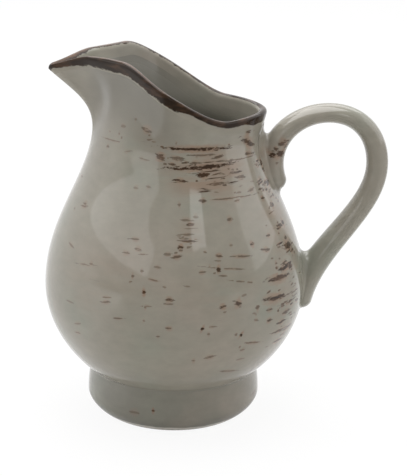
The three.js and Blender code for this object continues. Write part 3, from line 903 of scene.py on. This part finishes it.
# Brush marks: degrees from the front towards the handle, height, half length, half thickness, tilt, strength
bodyMarks = [
    (15, 131.5, 17, 0.7, -3, 1), (17, 129, 7, 0.5, -3, 0.6), (-11, 128.5, 2.5, 1.2, -20, 0.8),
    (0, 128, 3.5, 0.9, -7, 0.6), (12, 126, 3, 0.6, 0, 0.7), (17, 124, 15, 0.9, 0, 1),
    (46, 125, 13, 0.3, -3, 0.6), (17, 121, 3, 1, 0, 1), (2, 119, 3, 0.6, -9, 0.9),
    (25, 117, 5, 0.7, 0, 0.7), (43, 118, 3, 0.6, -8, 0.7), (32, 110.5, 15, 0.3, -3, 0.6),
    (59, 130.5, 5.5, 1.2, -27, 0.9), (57, 126, 4.5, 0.6, -9, 0.8), (68, 112, 4, 0.9, 4, 0.8),
    (65, 94, 4.5, 0.7, -9, 0.9), (5, 103.5, 3, 0.5, -5, 0.5), (5, 98, 3, 0.4, 0, 0.5),
    (5, 95.5, 4, 0.5, -4, 0.7), (2, 93, 1.5, 0.8, -5, 0.9), (47, 87.5, 3, 0.6, -13, 0.8),
    (66, 85, 5.5, 1.5, -8, 1), (31, 87.5, 5.5, 0.4, -7, 0.6), (20, 89, 2, 0.5, -11, 0.7),
    (52, 74.5, 9.5, 1.1, -4, 1), (59, 77.5, 6, 1.2, 0, 1), (31, 77, 10, 0.3, -13, 0.5),
    (48, 66.5, 9.5, 1.1, -6, 1), (57, 62, 6, 0.6, -4, 0.9), (56, 58, 4, 0.6, 0, 0.8),
    (56, 49.5, 9, 0.6, -3, 0.9), (55, 44, 4.5, 0.6, -2, 0.8), (20, 68, 2, 0.7, 13, 0.8),
    (27, 68.5, 2.2, 1, -33, 0.9), (23, 83.5, 11, 0.3, -9, 0.5), (19, 83.5, 1.2, 0.8, -10, 0.9),
    (-14, 74.5, 1.1, 0.8, 5, 1), (-3, 72, 2, 0.6, -5, 0.8), (-24, 89.5, 2.2, 0.5, -3, 0.5),
    (-44, 81.5, 6, 0.3, 8, 0.4), (11, 59, 0.8, 0.8, -26, 1), (29, 54, 0.8, 0.8, -36, 1),
    (-3, 59.5, 1.8, 0.5, 2, 0.7), (-47, 54.5, 3.2, 0.4, 18, 0.4), (36, 48.5, 5.6, 0.4, -11, 0.6),
    (28, 34.5, 5.5, 0.4, -11, 0.5), (-22, 139, 3.2, 0.8, -12, 0.6), (-51, 132, 10, 0.3, 2, 0.4),
    (59, 135.8, 2.6, 1.2, -10, 0.9), (71, 119.8, 1.5, 1.3, 0, 0.9), (71, 117, 1.2, 1, 0, 0.8),
    (63, 120.4, 1.5, 0.6, 0, 0.8), (71, 111.5, 2.5, 1.3, 0, 1), (59, 110.7, 1.9, 0.5, 0, 0.8),
    (71, 106, 1.2, 0.8, 0, 0.8), (65, 102.7, 1.6, 0.8, 0, 0.9), (63, 93.7, 2.5, 0.8, 0, 0.9),
    (69, 94, 1.8, 1, 0, 1), (66, 88.3, 1.3, 0.8, 0, 0.8), (58, 87.4, 2.8, 0.6, 0, 1),
    (69, 82, 2.8, 0.6, 0, 0.8), (58, 79.2, 2.7, 0.6, 0, 0.9), (63, 76.4, 2.3, 1, 0, 1),
    (55, 77.3, 2, 0.8, 0, 1), (66, 64.8, 3.3, 0.5, 0, 0.7), (44, 62.2, 2.3, 0.5, 0, 0.8),
    (44, 57.3, 2, 0.6, 0, 0.9), (53, 54, 3.8, 0.6, 0, 0.9), (61, 48.9, 4.8, 0.8, 0, 0.9),
    (37, 65, 1.2, 1, 0, 0.7), (39, 91.3, 1.5, 0.6, 0, 0.9), (-3, 125.6, 1.7, 0.6, -15, 0.8),
    (-10, 132.5, 1.1, 0.6, 0, 0.8), (29, 102.4, 1.7, 0.6, 0, 0.6), (7, 101.8, 1.9, 0.6, 0, 0.8),
]
footMarks = [
    (-27, 11, 3, 0.7, 4, 0.4), (-14, 13, 0.8, 0.6, 0, 1), (70, 12, 4, 0.5, 3, 0.4),
    (160, 10, 5, 0.6, -4, 0.5),
]
# On the handle the first number is the distance out from the jug's axis
handleMarks = [
    (47.2, 127.2, 2.4, 1.1, 20, 0.8), (45.9, 122, 2.1, 1.5, -40, 1), (42.4, 121.8, 1.7, 1.4, 55, 1),
    (44, 124.6, 1.2, 0.8, 0, 0.8), (48.6, 125.4, 1.2, 0.7, 60, 0.6), (44.5, 118, 0.8, 0.6, 0, 0.5),
]
# Scattered flecks: degrees, height, spread of each, how many, strongest
fleckGroups = [
    (25, 121, 20, 6, 40, 0.8), (63, 98, 6, 20, 45, 1), (56, 60, 8, 12, 35, 0.9), (5, 98, 5, 5, 14, 0.7),
    (0, 72, 35, 14, 40, 0.6), (20, 48, 30, 8, 6, 0.5), (-35, 136, 18, 4, 10, 0.5), (150, 119, 24, 7, 45, 1),
    (205, 76, 30, 14, 50, 0.8), (120, 64, 16, 14, 40, 1), (250, 100, 22, 12, 25, 0.7),
]
fleckSizes = {"seed": 11, "halfLength": (0.7, 3.2), "halfThickness": (0.25, 0.6), "tilt": 8, "weakest": 0.3}
# Worn zones: degrees, height, half width, half height, amount
wornZones = [
    (22, 121, 36, 17, 0.6), (64, 88, 24, 48, 0.42), (58, 62, 22, 26, 0.42), (6, 97, 12, 14, 0.4),
    (20, 75, 48, 24, 0.26), (-36, 74, 40, 30, 0.24), (82, 121, 16, 14, 0.36), (-25, 134, 26, 14, 0.22),
    (150, 118, 38, 18, 0.5), (200, 76, 44, 30, 0.4), (125, 66, 30, 30, 0.5), (240, 96, 30, 26, 0.3),
]
wornCore = 0.25  # share of a zone, from its middle, that has the full amount


def fleckMarks():
    draw = random.Random(fleckSizes["seed"])
    flecks = []
    for degrees, height, spread, rise, count, strongest in fleckGroups:
        for _ in range(count):
            short = draw.random() ** 2
            flecks.append((
                draw.gauss(degrees, spread), draw.gauss(height, rise),
                between(*fleckSizes["halfLength"], short), draw.uniform(*fleckSizes["halfThickness"]),
                draw.gauss(0, fleckSizes["tilt"]), draw.uniform(fleckSizes["weakest"], strongest),
            ))
    return flecks


def meshPoints(piece):
    # millimetres about the jug's axis
    points = np.zeros(len(piece.data.vertices) * 3)
    piece.data.vertices.foreach_get("co", points)
    return (points.reshape(-1, 3) - axis) / mm


def aroundJug(at, turn, radius):
    around = np.arctan2(at[:, 0], -at[:, 1]) - np.radians(turn)
    return (np.mod(around + math.pi, math.tau) - math.pi) * radius


def tagStrokes(piece, marks, sideways):
    # each face remembers the stroke nearest to it, so every corner knows its place within that stroke
    mesh = piece.data
    loops = np.zeros(len(mesh.loops), int)
    mesh.loops.foreach_get("vertex_index", loops)
    sides = np.array([face.loop_total for face in mesh.polygons])
    faceOf = np.repeat(np.arange(len(sides)), sides)
    corners = meshPoints(piece)[loops]
    middles = np.stack([np.bincount(faceOf, corners[:, k]) / sides for k in range(3)], -1)
    turn, height, halfLength, halfThick, tilt, strength = np.array(marks, float).T
    tilt = np.radians(tilt)

    def within(at, k):
        level, up = sideways(at, turn[k], height[k]), at[:, 2] - height[k]
        c, s = np.cos(tilt[k]), np.sin(tilt[k])
        return (level * c + up * s) / halfLength[k], (up * c - level * s) / halfThick[k]

    nearest, best = np.zeros(len(sides), int), np.full(len(sides), np.inf)
    for k in range(len(marks)):
        far = np.hypot(*within(middles, k)) / strength[k]
        nearest = np.where(far < best, k, nearest)
        best = np.minimum(best, far)
    chosen = nearest[faceOf]
    stroke = np.stack([*within(corners, chosen), strength[chosen]], -1)
    mesh.attributes.new("stroke", "FLOAT_VECTOR", "CORNER").data.foreach_set("vector", stroke.ravel())


def tagWear(piece):
    points = meshPoints(piece)
    wear = np.zeros(len(points))
    for degrees, height, halfWidth, halfHeight, amount in wornZones:
        turn, radius = math.radians(degrees), float(bodyRadius(height))
        offset = points - (radius * math.sin(turn), -radius * math.cos(turn), height)
        far = np.linalg.norm(offset / (halfWidth, halfWidth, halfHeight), axis=1)
        wear = np.maximum(wear, amount * smoothStep(-far, -1, -wornCore))
    piece.data.attributes.new("wear", "FLOAT", "POINT").data.foreach_set("value", wear)


flecks = fleckMarks()
tagStrokes(body, bodyMarks + flecks, lambda at, turn, height: aroundJug(at, turn, bodyRadius(height)))
tagStrokes(footRing, footMarks, lambda at, turn, height: aroundJug(at, turn, foot["Foot Radius"]))
for piece in (handlePiece, upperJoint, lowerJoint):
    tagStrokes(piece, handleMarks, lambda at, out, height: at[:, 0] - out)
for piece in (body, handlePiece, upperJoint, lowerJoint):
    tagWear(piece)
print("brush marks laid:", len(bodyMarks) + len(flecks) + len(footMarks))

# Finishes: tint, brush marks and iron edge on one glaze

bodyZones = {  # above the foot, below the lip with the inside as minus, and along x
    # crease, the flare zones and inside mark where painted shade is laid: over the foot, under the beak and
    # in the mouth
    "crease": 2.5, "flareDepth": (45, 12), "flareStart": (6, -12), "flareEnd": (-42, -30),
    "inside": (-2, -20), "outside": (4, 9),
}
clayAndReflectionBand = {"wave": 1.2, "edge": (5.0, 4.2)}


def startFinish(name, base=glaze["base"]):
    material = bpy.data.materials.new(name)
    material.use_nodes = True
    coordinates = newNode(material.node_tree, "ShaderNodeTexCoord").outputs["Object"]
    place = useGroup(jugPlace, {"Place": coordinates})
    tints = {"Place": place["Centred"], "Base": base, "Warm": glaze["warm"], "Cool": glaze["cool"]}
    return material, place["Centred"], place["Height"], useGroup(glazeTint, tints)["Colour"]


def reading(place, tag, output="Fac"):
    return newNode(place.id_data, "ShaderNodeAttribute", attribute_name=tag).outputs[output]


def laidStrokes(place):
    return useGroup(brushMark, {"Place": place, "Stroke": reading(place, "stroke", "Vector")})


def brushWork(place):
    dry = useGroup(dryBrush, {"Place": place, "Density": reading(place, "wear")})
    laid = laidStrokes(place)
    return most(dry["Mark"], laid["Mark"]), most(dry["Wash"], laid["Halo"])


def washed(tint, wash):
    return mixColour(times(wash, glaze["washAmount"]), tint, glaze["wash"])


def ironed(place, tint, mark, thin):
    iron = {"Place": place, "Thin": thin, "Deep": glaze["ironDeep"], "Pale": glaze["ironPale"]}
    return mixColour(mark, tint, useGroup(ironColour, iron)["Colour"])


def endFinish(place, colour, iron, shine=glaze["shine"], gloss=glaze["gloss"]):
    surface = useGroup(glazeSkin, {"Place": place, "Iron": iron, "Gloss": gloss})
    bump = fedNode("ShaderNodeBump", {
        "Strength": glaze["rippleDepth"], "Distance": glaze["rippleSize"] * mm, "Height": surface["Height"]})
    for title, value in {
        "IOR": glaze["index"], "Specular IOR Level": shine, "Base Color": colour,
        "Roughness": surface["Roughness"], "Normal": bump.outputs[0],
    }.items():
        feed(place.id_data.nodes["Principled BSDF"].inputs[title], value)


def makeBodyFinish():
    material, place, height, tint = startFinish("brushedGlaze")
    depth, x = reading(place, "lipDepth"), splitXyz(place)["X"]
    low = zone(height, (vessel["footHeight"] + bodyZones["crease"], vessel["footHeight"]))
    tint = mixColour(low, tint, glaze["foot"])  # painted shade in the crease over the foot
    along = least(zone(x, bodyZones["flareStart"]), zone(x, bodyZones["flareEnd"]))
    flare = times(zone(depth, bodyZones["flareDepth"]), along)
    tint = mixColour(flare, tint, glaze["beak"])  # painted shade on the flare under the beak's overhang
    inside = zone(depth, bodyZones["inside"])
    tint = mixColour(inside, tint, glaze["foot"])  # painted shade inside the mouth; the glaze there is also less glossy
    outside = zone(depth, bodyZones["outside"])
    mark, wash = (times(layer, outside) for layer in brushWork(place))
    edge = useGroup(ironEdge, {"Place": place, "Lip Depth": depth})
    iron = most(mark, edge["Iron"])
    gloss = zone(depth, bodyZones["inside"], glaze["gloss"], glaze["insideGloss"])
    endFinish(place, ironed(place, washed(tint, wash), iron, glaze["thinOnBody"]), iron, gloss=gloss)
    return material


def makeRimFinish():
    material, place, _, tint = startFinish("ironRim")
    edge = useGroup(ironEdge, {"Place": place, "Lip Depth": reading(place, "lipDepth")})
    endFinish(place, ironed(place, tint, edge["Iron"], edge["Crest"]), edge["Iron"], glaze["rimShine"])
    return material


def makeHandleFinish():
    material, place, _, tint = startFinish("handleGlaze")
    mark, wash = brushWork(place)
    endFinish(place, ironed(place, washed(tint, wash), mark, glaze["thinOnHandle"]), mark)
    return material


def makeFootFinish():
    # the foot's darker glaze colour is painted shade under the belly's overhang
    material, place, height, tint = startFinish("footGlaze", glaze["foot"])
    laid = laidStrokes(place)
    colour = ironed(place, washed(tint, laid["Halo"]), laid["Mark"], glaze["thinOnFoot"])
    ragged = timesPlus(noise(place, "wiped"), clayAndReflectionBand["wave"] * mm, height)
    clayAndReflection = zone(ragged, clayAndReflectionBand["edge"])  # bare clay where the foot stands, carried up as a painted reflection of the floor along the foot's lower edge
    endFinish(place, mixColour(clayAndReflection, colour, glaze["clay"]), clayAndReflection)
    return material


finishes = {
    "jug_body": makeBodyFinish(), "jug_rim": makeRimFinish(), "jug_foot": makeFootFinish(),
    "jug_handle": makeHandleFinish(),
}
finishes["jug_upper_joint"] = finishes["jug_lower_joint"] = finishes["jug_handle"]
print("finishes:", len({finish.name for finish in finishes.values()}))

# Pieces take the place of their plain solids

stands = {
    body: ("vessel_body", "glaze"), rim: ("rim_band", "iron_glaze"), footRing: ("foot_ring", "glaze"),
    handlePiece: ("handle", "glaze"), upperJoint: ("upper_handle_joint", "glaze"),
    lowerJoint: ("lower_handle_joint", "glaze"),
}
for piece, (node, slot) in stands.items():
    piece.data.materials.clear()
    piece.data.materials.append(finishes[piece.name])
    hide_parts(node)
    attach(piece, "root")
print("pieces:", len(stands))

# Studio: white all round for the eye, soft light on the jug

studio = {
    "fillLeft": 0.32, "fillRight": 0.62, "roomFront": 0.12, "roomRight": 0.5,
    "floorSize": 9000.0, "floorDrop": 0.1, "floorColour": (0.86, 0.86, 0.85, 1), "floorWhite": 0.92,
    # where the mirrored room brightens to the back, then where it dims to the right; the sky's are directions
    "sky": ((-0.6, 0.1), (0.0, 0.5)), "floor": ((-60, 90), (30, 150)),
    "lamps": {  # place about the jug's axis, width, height, radiance, aim height
        "overhead": ((-140, 100, 1200), 1200, 1280, 3.4, 80),
        "leftPanel": ((-934, -358, 590), 2070, 380, 1.0, 100),
        "rightPanel": ((985, 174, 535), 1020, 690, 0.82, 100),
        "rightBar": ((400, -900, 740), 260, 330, 1.8, 100),
        "backPanel": ((100, 930, 900), 1400, 500, 1.8, 100),
    },
}


def whiteRays(tree):
    rays = newNode(tree, "ShaderNodeLightPath").outputs
    return most(rays["Is Camera Ray"], rays["Is Transmission Ray"]), rays["Is Glossy Ray"]


def mirroredRoom(front, right, ends, size=1.0):
    # what only the glaze shows: dim in front of the jug, dimmer on the right, white behind
    (dim, white), (start, stop) = ends
    ahead = remap(front, dim * size, white * size, studio["roomFront"], 1.0)
    return times(ahead, remap(right, start * size, stop * size, 1.0, studio["roomRight"]))


def makeWorld():
    world = bpy.data.worlds.new("studio")
    world.use_nodes = True
    tree = world.node_tree
    way = splitXyz(newNode(tree, "ShaderNodeTexCoord").outputs["Generated"])
    room = mirroredRoom(way["Y"], minus(way["X"], way["Y"]), studio["sky"])
    seen, mirrored = whiteRays(tree)
    fill = remap(way["X"], -1, 1, studio["fillLeft"], studio["fillRight"], "LINEAR")
    sky = tree.nodes["Background"].inputs
    sky["Color"].default_value = (1, 1, 1, 1)
    feed(sky["Strength"], blendValue(seen, blendValue(mirrored, fill, room), 1.0))
    scene.world = world


def makeFloor():
    half, drop = studio["floorSize"] / 2 * mm, -studio["floorDrop"] * mm  # just under the standing ring
    mesh = bpy.data.meshes.new("floor")
    corners = [(x * half, y * half, drop) for x, y in ((-1, -1), (1, -1), (1, 1), (-1, 1))]
    mesh.from_pydata(corners, [], [(0, 1, 2, 3)])
    material = bpy.data.materials.new("paleFloor")
    material.use_nodes = True
    tree = material.node_tree
    tree.nodes.remove(tree.nodes["Principled BSDF"])
    seen, mirrored = whiteRays(tree)
    at = splitXyz(newNode(tree, "ShaderNodeTexCoord").outputs["Object"])
    across = minus(at["X"], axisX)
    beside = plus(calc("ABSOLUTE", across), at["Y"])  # dimmest straight in front of the jug
    room = mirroredRoom(beside, minus(across, at["Y"]), studio["floor"], mm)
    matt = newNode(tree, "ShaderNodeBsdfDiffuse", {"Color": studio["floorColour"]})
    glow = fedNode("ShaderNodeEmission", {"Strength": blendValue(mirrored, 1.0, room)})
    white = times(most(seen, mirrored), studio["floorWhite"])
    mixed = fedNode("ShaderNodeMixShader", (white, matt.outputs[0], glow.outputs[0]))
    feed(tree.nodes["Material Output"].inputs["Surface"], mixed.outputs[0])
    mesh.materials.append(material)
    floor = addObject("floor", mesh)


def makeLamps():
    for name, (place, width, height, radiance, aim) in studio["lamps"].items():
        lamp = bpy.data.lights.new(name, "AREA")
        lamp.shape = "RECTANGLE"
        lamp.size, lamp.size_y = width * mm, height * mm
        lamp.energy = radiance * math.pi * lamp.size * lamp.size_y
        at = Vector(place) * mm + Vector(axis)
        back = at - Vector((axisX, 0, aim * mm))
        turn = back.to_track_quat("Z", "Y").to_matrix().to_4x4()
        addObject(name, lamp).matrix_world = Matrix.Translation(at) @ turn


makeWorld()
makeFloor()
makeLamps()
print("studio lit")
